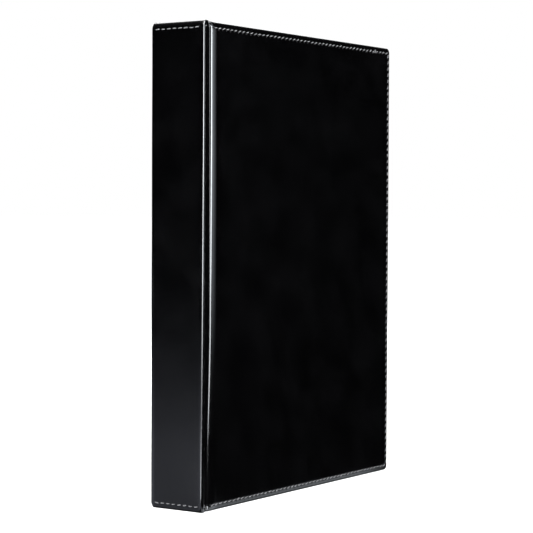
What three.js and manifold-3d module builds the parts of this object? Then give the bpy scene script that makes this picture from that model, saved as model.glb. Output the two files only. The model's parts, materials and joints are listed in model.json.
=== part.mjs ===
// A4 ring binder with leather-covered boards and a four-ring mechanism on its spine.
// Millimetres, +Z up. The binder stands closed on its lower edge, with its origin in the middle of that
// edge's footprint. The spine faces -Y, the front cover faces +X and the rear cover faces -X.

import * as THREE from 'three';
import { mergeVertices } from 'three/addons/utils/BufferGeometryUtils.js';
import Module from 'manifold-3d';

const wasm = await Module();
wasm.setup();

// Driving dimensions of the case.
const HEIGHT = 315;
const DEPTH = 238;
const SPINE_WIDTH = 42;
const RIDGE_PROUD = 1.1; // the spine's edges stand this far outside the cover planes
const LEATHER = 1.0;
const BOARD = 1.8;
const LINING = 0.4;
const GLUE = 0.05; // glue line between glued layers
const MARGIN = 4.6; // sewn margin of leather outside the boards
const MARGIN_DROP = 1.0; // the margin is thinner than the boarded area by this much
const CORNER_RADIUS = 3;
const LINING_INSET = 2;
const SPINE_EDGE_RADIUS = 1;

// The flexible joint between the spine and a cover.
const STRIP_START = 4; // from the spine's outer face to the strip's first edge
const STRIP_END = 10.3; // from the spine's outer face to the boarded part of the cover
const STRIP_THICKNESS = 1.45;
const BOARD_START = 11.5; // from the spine's outer face to the board's edge
const BOARD_EDGE_CHAMFER = 1.3;

// Stitching, which lies in a shallow channel.
const STITCH_INSET = 3.9;
const STITCH_RUN_START = 12.4; // from the spine's outer face
const THREAD = 0.6;
const THREAD_PROUD = 0.1;
const THREAD_CLEARANCE = 0.3;

// Ring mechanism. Heights are measured from the spine's lining towards the fore edge.
const RING_COUNT = 4;
const RING_PITCH = 80;
const RING_RADIUS = 12.5; // to the middle of the wire
const WIRE_RADIUS = 1.5;
const RING_HEIGHT = 14;
const RING_END_ANGLE = 52; // degrees below the ring's middle at which the wire turns down to its plate
const TIP_GAP = 0.15;
const TONGUE_RADIUS = 0.7;
const TONGUE_LENGTH = 1.4;
const WIRE_SIDES = 12;
const RING_STEPS = 22;
const PEG_RADIUS = 1;
const PEG_PROUD = 0.2;
const HOLE_CLEARANCE = 0.3;

const HOUSING_WIDTH = 21.2;
const HOUSING_HEIGHT = 6.5;
const HOUSING_WALL_HEIGHT = 4;
const HOUSING_LENGTH = 287;
const SHEET = 0.8;
const LIP_WIDTH = 1.2;
const LIP_HEIGHT = 0.5;
const LEVER_NOTCH_WIDTH = 15;
const LEVER_NOTCH_LENGTH = 12;
const SLOT_HALF_LENGTH = 2;
const SLOT_INNER_X = 5.6;
const SLOT_FLOOR = 3.5;

const PLATE_PIVOT_X = 9;
const PLATE_PIVOT_HEIGHT = 2.3;
const PLATE_THICKNESS = 1;
const PLATE_CLOSED_TILT = 5.7; // degrees, middle edges towards the spine
const PLATE_GAP = 0.15;
const PLATE_LENGTH = 273;

const PIN_INSET = 5; // from the housing's end to the lever pin
const PIN_HEIGHT = 2.6;
const PIN_RADIUS = 0.75;
const PIN_HEAD_RADIUS = 1.4;
const PIN_HEAD_THICKNESS = 0.5;
const PIN_HEAD_TAPER = 0.8; // share of the head's radius left at its face
const LEVER_WIDTH = 12;
const LEVER_HUB_RADIUS = 1.6;
const TAB_START = [-1.2, -0.6]; // the thumb tab's outline, as (height, z) about the pin
const TAB_CURVES = [ // each a control point and an end point
  [5.2, -1.4, 11.2, -7.6], // upper side
  [12.4, -9.2, 11.6, -9.8], // round tip
  [10.9, -10.2, 9.8, -8.8],
  [4.8, -3.6, -0.6, -1.6], // lower side
];
const LEVER_NOSE_WIDTH = 4;
const NOSE_THICKNESS = 0.5;
const NOSE_REACH = 2.9; // from the pin towards the plates
const NOSE_FLOOR_GAP = 0.2;
const WEB_HALF = 0.8;

const RIVET_OFFSET = 100; // from mid-height
const RIVET_RADIUS = 1.8;
const RIVET_HEAD_RADIUS = 3.5;
const RIVET_HEAD_THICKNESS = 0.9;
const RIVET_FOOT_THICKNESS = 0.6;
const RIVET_DOME = [[0.9, 0.5], [0.5, 1]]; // the dome's corners, as shares of head radius and thickness

// Worked out from the driving dimensions.
const MID_HEIGHT = HEIGHT / 2;
const SPINE_FACE_Y = -DEPTH / 2;
const FORE_EDGE_Y = DEPTH / 2;
const STACK = LEATHER + BOARD + LINING + 2 * GLUE;
const COVER_OUTER_X = SPINE_WIDTH / 2 - RIDGE_PROUD;
const COVER_INNER_X = COVER_OUTER_X - STACK;
const SPINE_INNER_Y = SPINE_FACE_Y + STACK;
const STITCH_RUN_START_Y = SPINE_FACE_Y + STITCH_RUN_START;
const FAR = 400; // longer than anything here, for cutting blocks
const OVERCUT = 1; // how far a cutting block runs past what it cuts
const DEGREE = Math.PI / 180;

const LEATHER_BLACK = { color: 0x0b0b0c, roughness: 0.32, metalness: 0 };
const BOARD_GREY = { color: 0x8a8478, roughness: 0.95, metalness: 0 };
const LINING_BLACK = { color: 0x17171a, roughness: 0.85, metalness: 0 };
const THREAD_BLACK = { color: 0x2a2a2e, roughness: 0.6, metalness: 0 };
const NICKEL = { color: 0xc9c9c4, roughness: 0.2, metalness: 1 };
const ZINC_STEEL = { color: 0x9fa1a3, roughness: 0.38, metalness: 1 };

// Solids and booleans.

function toSolid(geometry) {
  const bare = geometry.clone();
  bare.deleteAttribute('normal');
  bare.deleteAttribute('uv');
  const merged = mergeVertices(bare, 1e-5);
  return new wasm.Manifold(new wasm.Mesh({
    numProp: 3,
    vertProperties: new Float32Array(merged.attributes.position.array),
    triVerts: new Uint32Array(merged.index.array),
  }));
}

function toGeometry(solid) {
  const mesh = solid.getMesh();
  const geometry = new THREE.BufferGeometry();
  geometry.setAttribute('position', new THREE.BufferAttribute(new Float32Array(mesh.vertProperties), 3));
  geometry.setIndex(new THREE.BufferAttribute(new Uint32Array(mesh.triVerts), 1));
  return geometry;
}

function box(low, high) {
  const size = high.map((value, axis) => value - low[axis]);
  const geometry = new THREE.BoxGeometry(...size);
  geometry.translate(...low.map((value, axis) => value + size[axis] / 2));
  return toSolid(geometry);
}

function outline(points) {
  return new THREE.Shape(points.map(([x, y]) => new THREE.Vector2(x, y)));
}

// A section in the XY plane, raised along Z.
function raised(shape, lowZ, highZ, options = {}) {
  const geometry = new THREE.ExtrudeGeometry(shape, {
    depth: highZ - lowZ,
    bevelEnabled: false,
    curveSegments: 8,
    ...options,
  });
  geometry.translate(0, 0, lowZ);
  return geometry;
}

// An outline drawn in the YZ plane, thickened along +X from lowX to highX.
function acrossX(shape, lowX, highX, options = {}) {
  const geometry = raised(shape, lowX, highX, options);
  geometry.applyMatrix4(new THREE.Matrix4().set(0, 0, 1, 0, 1, 0, 0, 0, 0, 1, 0, 0, 0, 0, 0, 1));
  return geometry;
}

// A cylinder along X or Y through a point.
function rod(axis, radius, low, high, centre, sides = 24) {
  const geometry = new THREE.CylinderGeometry(radius, radius, high - low, sides);
  geometry.translate(0, (low + high) / 2, 0);
  if (axis === 'x') {
    geometry.rotateZ(-Math.PI / 2);
  }
  geometry.translate(...centre);
  return toSolid(geometry);
}

function named(name, geometry, finish) {
  geometry.computeVertexNormals();
  const mesh = new THREE.Mesh(geometry, new THREE.MeshStandardMaterial(finish));
  mesh.name = name;
  return mesh;
}

// Panels of the case.

// A panel in the YZ plane, from innerX out to outerX, whose outer side slopes down over its margin.
function marginedPanel(lowY, highY, innerX, outerX) {
  const plateau = outline([
    [lowY + MARGIN, MARGIN],
    [highY - MARGIN, MARGIN],
    [highY - MARGIN, HEIGHT - MARGIN],
    [lowY + MARGIN, HEIGHT - MARGIN],
  ]);
  const depth = outerX - innerX;
  const geometry = acrossX(plateau, innerX - depth, outerX - MARGIN_DROP, {
    bevelEnabled: true,
    bevelSegments: 1,
    bevelSize: MARGIN,
    bevelThickness: MARGIN_DROP,
  });
  const inward = box(
    [innerX - 2 * depth, lowY - OVERCUT, -OVERCUT],
    [innerX, highY + OVERCUT, HEIGHT + OVERCUT],
  );
  return toSolid(geometry).subtract(inward);
}

// The outline of a cover seen from its face, with its two fore-edge corners rounded.
function coverOutline(lowY) {
  const shape = new THREE.Shape();
  shape.moveTo(lowY, 0);
  shape.lineTo(FORE_EDGE_Y - CORNER_RADIUS, 0);
  shape.absarc(FORE_EDGE_Y - CORNER_RADIUS, CORNER_RADIUS, CORNER_RADIUS, -Math.PI / 2, 0, false);
  shape.lineTo(FORE_EDGE_Y, HEIGHT - CORNER_RADIUS);
  shape.absarc(FORE_EDGE_Y - CORNER_RADIUS, HEIGHT - CORNER_RADIUS, CORNER_RADIUS, 0, Math.PI / 2, false);
  shape.lineTo(lowY, HEIGHT);
  shape.closePath();
  return shape;
}

// The path of a row of stitches round the top, fore edge and bottom of a cover, grown by a clearance.
function coverStitchSolid(grow) {
  const half = THREAD / 2 + grow;
  const start = STITCH_RUN_START_Y - grow;
  const outer = [FORE_EDGE_Y - STITCH_INSET + half, STITCH_INSET - half, HEIGHT - STITCH_INSET + half];
  const inner = [outer[0] - 2 * half, outer[1] + 2 * half, outer[2] - 2 * half];
  const shape = outline([
    [start, outer[1]],
    [outer[0], outer[1]],
    [outer[0], outer[2]],
    [start, outer[2]],
    [start, inner[2]],
    [inner[0], inner[2]],
    [inner[0], inner[1]],
    [start, inner[1]],
  ]);
  const top = COVER_OUTER_X + THREAD_PROUD - MARGIN_DROP * (MARGIN - STITCH_INSET) / MARGIN;
  return toSolid(acrossX(shape, top - THREAD - grow, grow > 0 ? FAR : top));
}

function coverBoardGeometry() {
  const boardOuterX = COVER_OUTER_X - LEATHER - GLUE;
  const shape = outline([
    [SPINE_FACE_Y + BOARD_START + GLUE, MARGIN + GLUE],
    [FORE_EDGE_Y - MARGIN - GLUE, MARGIN + GLUE],
    [FORE_EDGE_Y - MARGIN - GLUE, HEIGHT - MARGIN - GLUE],
    [SPINE_FACE_Y + BOARD_START + GLUE, HEIGHT - MARGIN - GLUE],
  ]);
  return acrossX(shape, boardOuterX - BOARD, boardOuterX);
}

function coverLiningGeometry() {
  const shape = outline([
    [SPINE_FACE_Y + STRIP_START, LINING_INSET],
    [FORE_EDGE_Y - LINING_INSET, LINING_INSET],
    [FORE_EDGE_Y - LINING_INSET, HEIGHT - LINING_INSET],
    [SPINE_FACE_Y + STRIP_START, HEIGHT - LINING_INSET],
  ]);
  return acrossX(shape, COVER_INNER_X, COVER_INNER_X + LINING);
}

// The leather is one piece: a tray that holds the board, and the flexible strip that reaches to the spine.
function coverLeatherGeometry() {
  const bodyStartY = SPINE_FACE_Y + STRIP_END;
  const stripInnerX = COVER_INNER_X + LINING + GLUE;
  const boardY = SPINE_FACE_Y + BOARD_START;
  const uncut = marginedPanel(bodyStartY - 2 * MARGIN, FORE_EDGE_Y, COVER_INNER_X, COVER_OUTER_X);
  const rounded = toSolid(acrossX(
    coverOutline(bodyStartY), COVER_INNER_X - OVERCUT, COVER_OUTER_X + OVERCUT));
  const chamfer = toSolid(raised(outline([
    [COVER_OUTER_X - BOARD_EDGE_CHAMFER - OVERCUT, bodyStartY - OVERCUT],
    [COVER_OUTER_X + OVERCUT, bodyStartY - OVERCUT],
    [COVER_OUTER_X + OVERCUT, bodyStartY + BOARD_EDGE_CHAMFER + OVERCUT],
  ]), -OVERCUT, HEIGHT + OVERCUT));
  const strip = box(
    [stripInnerX, SPINE_FACE_Y + STRIP_START, 0],
    [stripInnerX + STRIP_THICKNESS, bodyStartY + OVERCUT, HEIGHT],
  );
  const boardPocket = box(
    [stripInnerX - OVERCUT, boardY, MARGIN],
    [COVER_OUTER_X - LEATHER, FORE_EDGE_Y - MARGIN, HEIGHT - MARGIN],
  );
  const liningPocket = box(
    [COVER_INNER_X - OVERCUT, SPINE_FACE_Y, LINING_INSET - GLUE],
    [stripInnerX, FORE_EDGE_Y - LINING_INSET + GLUE, HEIGHT - LINING_INSET + GLUE],
  );
  const tray = uncut.intersect(rounded).subtract(chamfer).add(strip);
  return toGeometry(tray.subtract(boardPocket).subtract(liningPocket)
    .subtract(coverStitchSolid(THREAD_CLEARANCE)));
}

function coverPieces(side) {
  const leather = named(`${side}_cover_leather`, coverLeatherGeometry(), LEATHER_BLACK);
  const board = named(`${side}_cover_board`, coverBoardGeometry(), BOARD_GREY);
  const lining = named(`${side}_cover_lining`, coverLiningGeometry(), LINING_BLACK);
  const stitching = named(`${side}_cover_stitching`, toGeometry(coverStitchSolid(0)), THREAD_BLACK);
  const group = new THREE.Group();
  group.add(leather, board, lining, stitching);
  return group;
}

// The spine. Its leather wraps round the board's long edges, which makes the two ridges.

function spineStitchSolid(z, grow) {
  const half = THREAD / 2 + grow;
  const reach = SPINE_WIDTH / 2 - 2 * LEATHER + grow;
  const face = SPINE_FACE_Y - THREAD_PROUD + MARGIN_DROP * (MARGIN - STITCH_INSET) / MARGIN;
  return box([-reach, grow > 0 ? -FAR : face, z - half], [reach, face + THREAD + grow, z + half]);
}

function spineStitchingGeometry(z) {
  return toGeometry(spineStitchSolid(z, 0));
}

function spineLeatherGeometry() {
  const halfWidth = SPINE_WIDTH / 2;
  const section = new THREE.Shape();
  section.moveTo(halfWidth, SPINE_INNER_Y);
  section.lineTo(-halfWidth, SPINE_INNER_Y);
  section.lineTo(-halfWidth, SPINE_FACE_Y + SPINE_EDGE_RADIUS);
  section.absarc(-halfWidth + SPINE_EDGE_RADIUS, SPINE_FACE_Y + SPINE_EDGE_RADIUS, SPINE_EDGE_RADIUS,
    Math.PI, Math.PI * 1.5, false);
  section.lineTo(halfWidth - SPINE_EDGE_RADIUS, SPINE_FACE_Y);
  section.absarc(halfWidth - SPINE_EDGE_RADIUS, SPINE_FACE_Y + SPINE_EDGE_RADIUS, SPINE_EDGE_RADIUS,
    -Math.PI / 2, 0, false);
  section.closePath();
  let leather = toSolid(raised(section, 0, HEIGHT));
  for (const end of [0, 1]) {
    const slope = outline([
      [SPINE_FACE_Y - OVERCUT, -OVERCUT],
      [SPINE_FACE_Y - OVERCUT, MARGIN * (1 + OVERCUT / MARGIN_DROP)],
      [SPINE_FACE_Y + MARGIN_DROP, 0],
      [SPINE_FACE_Y + MARGIN_DROP, -OVERCUT],
    ]);
    const cutter = acrossX(slope, -FAR, FAR);
    if (end === 1) {
      cutter.translate(0, 0, -MID_HEIGHT);
      cutter.rotateY(Math.PI);
      cutter.translate(0, 0, MID_HEIGHT);
    }
    leather = leather.subtract(toSolid(cutter));
    const stitchZ = end === 1 ? HEIGHT - STITCH_INSET : STITCH_INSET;
    leather = leather.subtract(spineStitchSolid(stitchZ, THREAD_CLEARANCE));
  }
  const boardPocket = box(
    [-halfWidth + LEATHER, SPINE_FACE_Y + LEATHER, MARGIN],
    [halfWidth - LEATHER, SPINE_INNER_Y + OVERCUT, HEIGHT - MARGIN],
  );
  const liningPocket = box(
    [-halfWidth + LEATHER, SPINE_INNER_Y - LINING - GLUE, LINING_INSET - GLUE],
    [halfWidth - LEATHER, SPINE_INNER_Y + OVERCUT, HEIGHT - LINING_INSET + GLUE],
  );
  return toGeometry(leather.subtract(boardPocket).subtract(liningPocket));
}

function rivetBores(radius) {
  return [-RIVET_OFFSET, RIVET_OFFSET].map((offset) => (
    rod('y', radius, SPINE_FACE_Y, SPINE_FACE_Y + FAR, [0, 0, MID_HEIGHT + offset])));
}

function spineBoardGeometry() {
  const halfWidth = SPINE_WIDTH / 2 - LEATHER - GLUE;
  const outerY = SPINE_FACE_Y + LEATHER + GLUE;
  let board = box([-halfWidth, outerY, MARGIN + GLUE], [halfWidth, outerY + BOARD, HEIGHT - MARGIN - GLUE]);
  for (const bore of rivetBores(RIVET_RADIUS + HOLE_CLEARANCE)) {
    board = board.subtract(bore);
  }
  const sunk = RIVET_FOOT_THICKNESS + HOLE_CLEARANCE;
  for (const offset of [-RIVET_OFFSET, RIVET_OFFSET]) {
    const centre = [0, 0, MID_HEIGHT + offset];
    const radius = RIVET_HEAD_RADIUS + HOLE_CLEARANCE;
    board = board.subtract(rod('y', radius, outerY - OVERCUT, outerY + sunk, centre));
  }
  return toGeometry(board);
}

function spineLiningGeometry() {
  const halfWidth = SPINE_WIDTH / 2 - LEATHER - GLUE;
  let lining = box(
    [-halfWidth, SPINE_INNER_Y - LINING, LINING_INSET],
    [halfWidth, SPINE_INNER_Y, HEIGHT - LINING_INSET],
  );
  for (const bore of rivetBores(RIVET_RADIUS + HOLE_CLEARANCE)) {
    lining = lining.subtract(bore);
  }
  return toGeometry(lining);
}

// Ring mechanism. Its pieces are drawn with Y as the height above the spine's lining.

function ringHeights() {
  return Array.from({ length: RING_COUNT }, (_, index) => (
    MID_HEIGHT + (index - (RING_COUNT - 1) / 2) * RING_PITCH));
}

// The arc of the housing's crown, a given distance inside its outer face.
function crownArc(inset) {
  const half = HOUSING_WIDTH / 2;
  const rise = HOUSING_HEIGHT - HOUSING_WALL_HEIGHT;
  const radius = (half * half + rise * rise) / (2 * rise);
  const centre = HOUSING_HEIGHT - radius;
  const innerHalf = half - inset;
  const sweep = Math.asin(innerHalf / (radius - inset));
  return { radius: radius - inset, centre, sweep };
}

function housingSection() {
  const half = HOUSING_WIDTH / 2;
  const inner = half - SHEET;
  const lip = inner - LIP_WIDTH;
  const outerArc = crownArc(0);
  const innerArc = crownArc(SHEET);
  const up = Math.PI / 2;
  const section = new THREE.Shape();
  section.moveTo(half, GLUE);
  section.lineTo(half, HOUSING_WALL_HEIGHT);
  section.absarc(0, outerArc.centre, outerArc.radius, up - outerArc.sweep, up + outerArc.sweep, false);
  section.lineTo(-half, GLUE);
  section.lineTo(-lip, GLUE);
  section.lineTo(-lip, GLUE + LIP_HEIGHT + SHEET);
  section.lineTo(-inner, GLUE + LIP_HEIGHT + SHEET);
  section.absarc(0, innerArc.centre, innerArc.radius, up + innerArc.sweep, up - innerArc.sweep, true);
  section.lineTo(inner, GLUE + LIP_HEIGHT + SHEET);
  section.lineTo(lip, GLUE + LIP_HEIGHT + SHEET);
  section.lineTo(lip, GLUE);
  section.closePath();
  return section;
}

function housingGeometry() {
  const low = MID_HEIGHT - HOUSING_LENGTH / 2;
  const high = MID_HEIGHT + HOUSING_LENGTH / 2;
  let housing = toSolid(raised(housingSection(), low, high, { curveSegments: 16 }));
  for (const z of ringHeights()) {
    for (const side of [-1, 1]) {
      const near = side * SLOT_INNER_X;
      const far = side * HOUSING_WIDTH;
      housing = housing.subtract(box(
        [Math.min(near, far), SLOT_FLOOR, z - SLOT_HALF_LENGTH],
        [Math.max(near, far), 2 * HOUSING_HEIGHT, z + SLOT_HALF_LENGTH],
      ));
    }
  }
  for (const end of [-1, 1]) {
    const endZ = MID_HEIGHT + end * HOUSING_LENGTH / 2;
    const inwardZ = endZ - end * LEVER_NOTCH_LENGTH;
    const outwardZ = endZ + end * OVERCUT;
    const notch = box(
      [-LEVER_NOTCH_WIDTH / 2, HOUSING_WALL_HEIGHT / 2, Math.min(outwardZ, inwardZ)],
      [LEVER_NOTCH_WIDTH / 2, 2 * HOUSING_HEIGHT, Math.max(outwardZ, inwardZ)],
    );
    const pinCentre = [0, PIN_HEIGHT, endZ - end * PIN_INSET];
    const pinBore = rod('x', PIN_RADIUS + HOLE_CLEARANCE, -HOUSING_WIDTH, HOUSING_WIDTH, pinCentre, 16);
    const rivetCentre = [0, 0, MID_HEIGHT + end * RIVET_OFFSET];
    const rivetBore = rod('y', RIVET_RADIUS + HOLE_CLEARANCE, 0, FAR, rivetCentre);
    housing = housing.subtract(notch).subtract(pinBore).subtract(rivetBore);
  }
  return toGeometry(housing);
}

// The plate on the +X side. Its outer edge is rounded about its pivot, and it tilts down to the middle.
function plateGeometry() {
  const half = PLATE_THICKNESS / 2;
  const innerX = -(PLATE_PIVOT_X - PLATE_GAP);
  const section = new THREE.Shape();
  section.moveTo(innerX, -half);
  section.lineTo(0, -half);
  section.absarc(0, 0, half, -Math.PI / 2, Math.PI / 2, false);
  section.lineTo(innerX, half);
  section.closePath();
  const geometry = raised(section, -PLATE_LENGTH / 2, PLATE_LENGTH / 2);
  geometry.rotateZ(PLATE_CLOSED_TILT * DEGREE);
  geometry.translate(PLATE_PIVOT_X, PLATE_PIVOT_HEIGHT, 0);
  let plate = toSolid(geometry);
  for (const offset of [-RIVET_OFFSET, RIVET_OFFSET]) {
    const radius = RIVET_RADIUS + 3 * HOLE_CLEARANCE;
    plate = plate.subtract(rod('y', radius, -OVERCUT, HOUSING_HEIGHT, [0, 0, offset]));
  }
  for (const z of ringHeights()) {
    const centre = [ringFoot().x, 0, z - MID_HEIGHT];
    plate = plate.subtract(rod('y', PEG_RADIUS + HOLE_CLEARANCE, -OVERCUT, HOUSING_HEIGHT, centre, 16));
  }
  return toGeometry(plate);
}

function ringFoot() {
  const angle = RING_END_ANGLE * DEGREE;
  return { x: RING_RADIUS * Math.cos(angle), height: RING_HEIGHT - RING_RADIUS * Math.sin(angle) };
}

class RingArc extends THREE.Curve {
  getPoint(t, target = new THREE.Vector3()) {
    const tip = Math.PI / 2 - TIP_GAP / RING_RADIUS;
    const end = -RING_END_ANGLE * DEGREE;
    const angle = tip + (end - tip) * t;
    return target.set(RING_RADIUS * Math.cos(angle), RING_HEIGHT + RING_RADIUS * Math.sin(angle), 0);
  }
}

function circle(radius, sides) {
  return outline(Array.from({ length: sides }, (_, index) => {
    const angle = 2 * Math.PI * index / sides;
    return [radius * Math.cos(angle), radius * Math.sin(angle)];
  }));
}

// The half ring on the +X side, in the plane z = 0. One half carries a tongue and the other its socket.
function halfRingGeometry(hasTongue) {
  const foot = ringFoot();
  const footCentre = [foot.x, 0, 0];
  const wire = toSolid(new THREE.ExtrudeGeometry(circle(WIRE_RADIUS, WIRE_SIDES), {
    extrudePath: new RingArc(),
    steps: RING_STEPS,
    bevelEnabled: false,
  }));
  const elbowShape = new THREE.SphereGeometry(WIRE_RADIUS, WIRE_SIDES, 8);
  elbowShape.translate(foot.x, foot.height, 0);
  const shoulder = PLATE_PIVOT_HEIGHT + PLATE_THICKNESS / 2 + HOLE_CLEARANCE;
  const leg = rod('y', WIRE_RADIUS, shoulder, foot.height, footCentre, WIRE_SIDES);
  const pegEnd = PLATE_PIVOT_HEIGHT - PLATE_THICKNESS / 2 - PEG_PROUD;
  const peg = rod('y', PEG_RADIUS, pegEnd, foot.height, footCentre, WIRE_SIDES);
  const half = wire.add(toSolid(elbowShape)).add(leg).add(peg);
  const tipHeight = RING_HEIGHT + RING_RADIUS;
  if (hasTongue) {
    const tongue = rod('x', TONGUE_RADIUS, -TONGUE_LENGTH, OVERCUT, [0, tipHeight, 0], WIRE_SIDES);
    return toGeometry(half.add(tongue));
  }
  const depth = TONGUE_LENGTH + HOLE_CLEARANCE;
  const socket = rod('x', TONGUE_RADIUS + HOLE_CLEARANCE, -OVERCUT, depth, [0, tipHeight, 0], WIRE_SIDES);
  return toGeometry(half.subtract(socket));
}

// The lever at the lower end, about its pin. The thumb tab points down and away from the spine, and the nose
// reaches under the ends of the plates.
function leverGeometry() {
  const tab = new THREE.Shape();
  tab.moveTo(...TAB_START);
  for (const curve of TAB_CURVES) {
    tab.quadraticCurveTo(...curve);
  }
  tab.closePath();
  const halfWidth = LEVER_WIDTH / 2;
  const halfNose = LEVER_NOSE_WIDTH / 2;
  const noseBottom = NOSE_FLOOR_GAP - PIN_HEIGHT;
  const tabSolid = toSolid(acrossX(tab, -halfWidth, halfWidth));
  const hub = rod('x', LEVER_HUB_RADIUS, -halfWidth, halfWidth, [0, 0, 0]);
  const web = box([-halfNose, noseBottom, -WEB_HALF], [halfNose, -LEVER_HUB_RADIUS / 2, WEB_HALF]);
  const nose = box([-halfNose, noseBottom, -WEB_HALF], [halfNose, noseBottom + NOSE_THICKNESS, NOSE_REACH]);
  const bore = rod('x', PIN_RADIUS + HOLE_CLEARANCE, -LEVER_WIDTH, LEVER_WIDTH, [0, 0, 0], 16);
  return toGeometry(tabSolid.add(hub).add(web).add(nose).subtract(bore));
}

function leverPinGeometry() {
  const half = HOUSING_WIDTH / 2 + HOLE_CLEARANCE;
  const end = half + PIN_HEAD_THICKNESS;
  const profile = [
    [0, -end],
    [PIN_HEAD_RADIUS * PIN_HEAD_TAPER, -end],
    [PIN_HEAD_RADIUS, -half],
    [PIN_RADIUS, -half],
    [PIN_RADIUS, half],
    [PIN_HEAD_RADIUS, half],
    [PIN_HEAD_RADIUS * PIN_HEAD_TAPER, end],
    [0, end],
  ];
  const geometry = new THREE.LatheGeometry(profile.map(([x, y]) => new THREE.Vector2(x, y)), 16);
  geometry.rotateZ(-Math.PI / 2);
  return toGeometry(toSolid(geometry));
}

// A rivet from the board's outer side, where its foot is sunk under the leather, to the housing's crown.
function rivetGeometry() {
  const footLow = -BOARD - LINING - GLUE;
  const crown = HOUSING_HEIGHT + GLUE;
  const profile = [
    [0, footLow],
    [RIVET_HEAD_RADIUS, footLow],
    [RIVET_HEAD_RADIUS, footLow + RIVET_FOOT_THICKNESS],
    [RIVET_RADIUS, footLow + RIVET_FOOT_THICKNESS],
    [RIVET_RADIUS, crown],
    [RIVET_HEAD_RADIUS, crown],
    ...RIVET_DOME.map(([out, up]) => [RIVET_HEAD_RADIUS * out, crown + RIVET_HEAD_THICKNESS * up]),
    [0, crown + RIVET_HEAD_THICKNESS],
  ];
  const geometry = new THREE.LatheGeometry(profile.map(([x, y]) => new THREE.Vector2(x, y)), 24);
  return toGeometry(toSolid(geometry));
}

function mechanism() {
  const group = new THREE.Group();
  group.position.y = SPINE_INNER_Y;
  group.add(named('mechanism_housing', housingGeometry(), NICKEL));
  ['left', 'right'].forEach((side) => {
    const turned = new THREE.Group();
    turned.position.z = MID_HEIGHT;
    turned.rotation.y = side === 'left' ? Math.PI : 0;
    turned.add(named(`${side}_hinge_plate`, plateGeometry(), ZINC_STEEL));
    ringHeights().forEach((z, index) => {
      const ring = named(`${side}_half_ring_${index + 1}`, halfRingGeometry(side === 'right'), NICKEL);
      ring.position.z = (z - MID_HEIGHT) * (side === 'left' ? -1 : 1);
      turned.add(ring);
    });
    group.add(turned);
  });
  ['lower', 'upper'].forEach((place) => {
    const end = place === 'upper' ? 1 : -1;
    const lever = named(`${place}_lever`, leverGeometry(), NICKEL);
    const pin = named(`${place}_lever_pin`, leverPinGeometry(), ZINC_STEEL);
    const turned = new THREE.Group();
    turned.position.set(0, PIN_HEIGHT, MID_HEIGHT + end * (HOUSING_LENGTH / 2 - PIN_INSET));
    turned.rotation.y = end > 0 ? Math.PI : 0;
    turned.add(lever, pin);
    const rivet = named(`${place}_rivet`, rivetGeometry(), NICKEL);
    rivet.position.z = MID_HEIGHT + end * RIVET_OFFSET;
    group.add(turned, rivet);
  });
  return group;
}

const binder = new THREE.Group();
const rear = coverPieces('rear');
rear.rotation.y = Math.PI;
rear.position.z = HEIGHT;
binder.add(coverPieces('front'), rear);
binder.add(named('spine_leather', spineLeatherGeometry(), LEATHER_BLACK));
binder.add(named('spine_board', spineBoardGeometry(), BOARD_GREY));
binder.add(named('spine_lining', spineLiningGeometry(), LINING_BLACK));
binder.add(named('spine_upper_stitching', spineStitchingGeometry(HEIGHT - STITCH_INSET), THREAD_BLACK));
binder.add(named('spine_lower_stitching', spineStitchingGeometry(STITCH_INSET), THREAD_BLACK));
binder.add(mechanism());

export default binder;
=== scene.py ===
# The looks of an A4 ring binder: black leather over boards, sewn and lined, with a four-ring mechanism.
# Sizes are in millimetres until a mesh is made, and metres after that. X is the thickness, Y runs from the
# spine (-Y) to the fore edge (+Y), and Z is up.

import json
import math

import bpy
import numpy as np
from mathutils import Matrix, Vector


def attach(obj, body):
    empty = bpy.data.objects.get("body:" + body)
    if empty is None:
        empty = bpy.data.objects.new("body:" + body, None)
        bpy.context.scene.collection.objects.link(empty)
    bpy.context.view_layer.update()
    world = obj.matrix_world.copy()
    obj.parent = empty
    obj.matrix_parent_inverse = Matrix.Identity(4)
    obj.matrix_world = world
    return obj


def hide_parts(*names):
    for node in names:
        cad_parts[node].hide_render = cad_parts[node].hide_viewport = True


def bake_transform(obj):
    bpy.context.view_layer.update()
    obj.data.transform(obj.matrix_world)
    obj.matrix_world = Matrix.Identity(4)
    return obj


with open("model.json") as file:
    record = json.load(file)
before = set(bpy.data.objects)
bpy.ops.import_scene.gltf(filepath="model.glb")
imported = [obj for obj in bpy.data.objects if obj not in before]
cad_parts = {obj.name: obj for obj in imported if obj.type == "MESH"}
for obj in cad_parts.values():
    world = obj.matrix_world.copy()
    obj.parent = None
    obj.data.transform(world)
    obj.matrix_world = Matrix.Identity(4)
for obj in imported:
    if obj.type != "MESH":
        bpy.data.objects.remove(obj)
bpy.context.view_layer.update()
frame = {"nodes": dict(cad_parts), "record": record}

MM = 0.001

# The case, as the CAD has it.
HEIGHT = 315
SPINE_FACE = -119
FORE_EDGE = 119
COVER_FACE = 19.9
COVER_INSIDE = 16.6
SPINE_INSIDE = -115.7
LINING_SEAT = 17.05  # the leather's inner face under the lining
SPINE_LINING_SEAT = -116.13
BOARD_FACE = 18.88  # the leather's inner face over the board
SPINE_BOARD_FACE = -118.0
BOARD_START = -107.5
HEM_START = 1.9  # from the edge, where the turned-in hem begins to show inside
MARGIN = 4.65  # and where the board begins
MARGIN_DROP = 1.0  # how far the leather slopes down past the board's edge
SLOPE_END = 4.35  # from the edge, where that slope meets the boarded area
SLOPE_CURVE = 1.25  # 1 would be a straight slope
CORNER_RADIUS = 3.0
LINING_INSET = 2.0
SEAM_X = 19.0  # where the spine's skin meets each cover's skin
HINGE_END = -100.0  # from here to the fore edge the cover is flat
RIM_RADIUS = 1.0

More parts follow.
